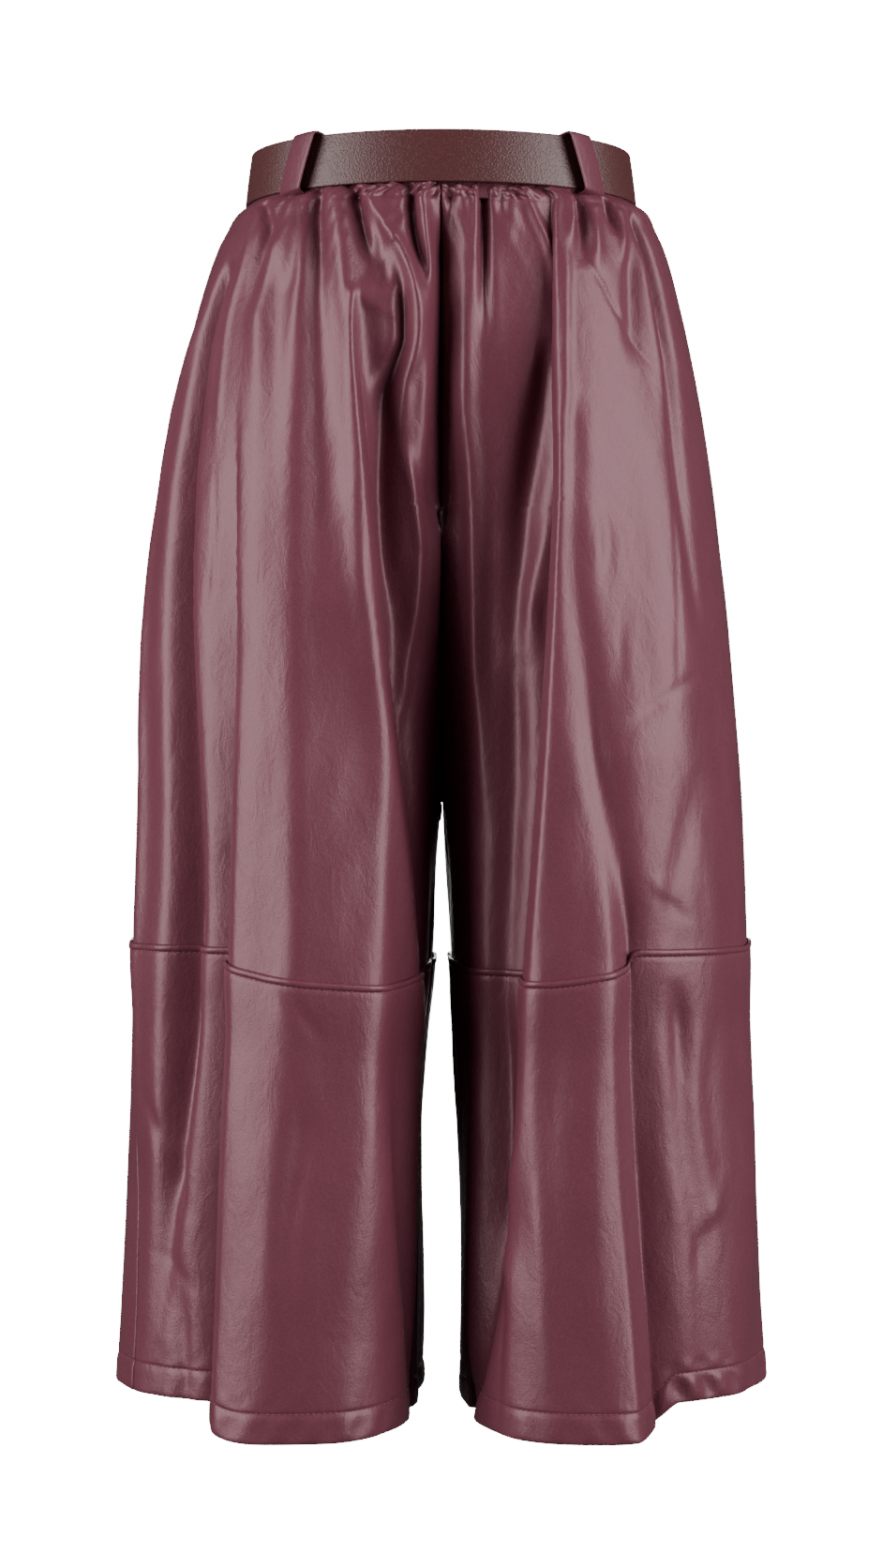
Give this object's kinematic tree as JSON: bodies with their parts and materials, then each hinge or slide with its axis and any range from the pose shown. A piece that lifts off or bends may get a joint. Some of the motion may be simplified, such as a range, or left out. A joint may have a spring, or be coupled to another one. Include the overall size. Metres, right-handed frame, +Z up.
{
  "type": "faux leather trousers with belt",
  "caption": "Cropped wide-leg faux leather trousers as worn, hollow, with a gathered waist, belt, lapped knee seams and turned hems.",
  "frame": {"origin": "centre of the waist, halfway up the belt, where the wearer holds the garment", "axes": "+Z up, -Y towards the garment's back, +X towards the wearer's right"},
  "size_m": [0.4479, 0.285, 0.869],
  "materials": {
    "faux_leather": "semi-gloss polyurethane coat with a fine grain",
    "belt_leather": "satin with a pebble grain",
    "buckle_metal": "dark polished"
  },
  "bodies": {
    "root": {"waist_casing": "faux_leather", "upper_back_left": "faux_leather", "upper_back_right": "faux_leather", "upper_front_left": "faux_leather", "upper_front_right": "faux_leather", "lower_back_left": "faux_leather", "lower_back_right": "faux_leather", "lower_front_left": "faux_leather", "lower_front_right": "faux_leather", "belt_loop_back_left": "faux_leather", "belt_loop_back_right": "faux_leather", "belt_loop_front_left": "faux_leather", "belt_loop_front_right": "faux_leather", "belt_strap": "belt_leather", "belt_keeper": "belt_leather", "buckle_frame": "buckle_metal", "buckle_prong": "buckle_metal"}
  },
  "joints": []
}
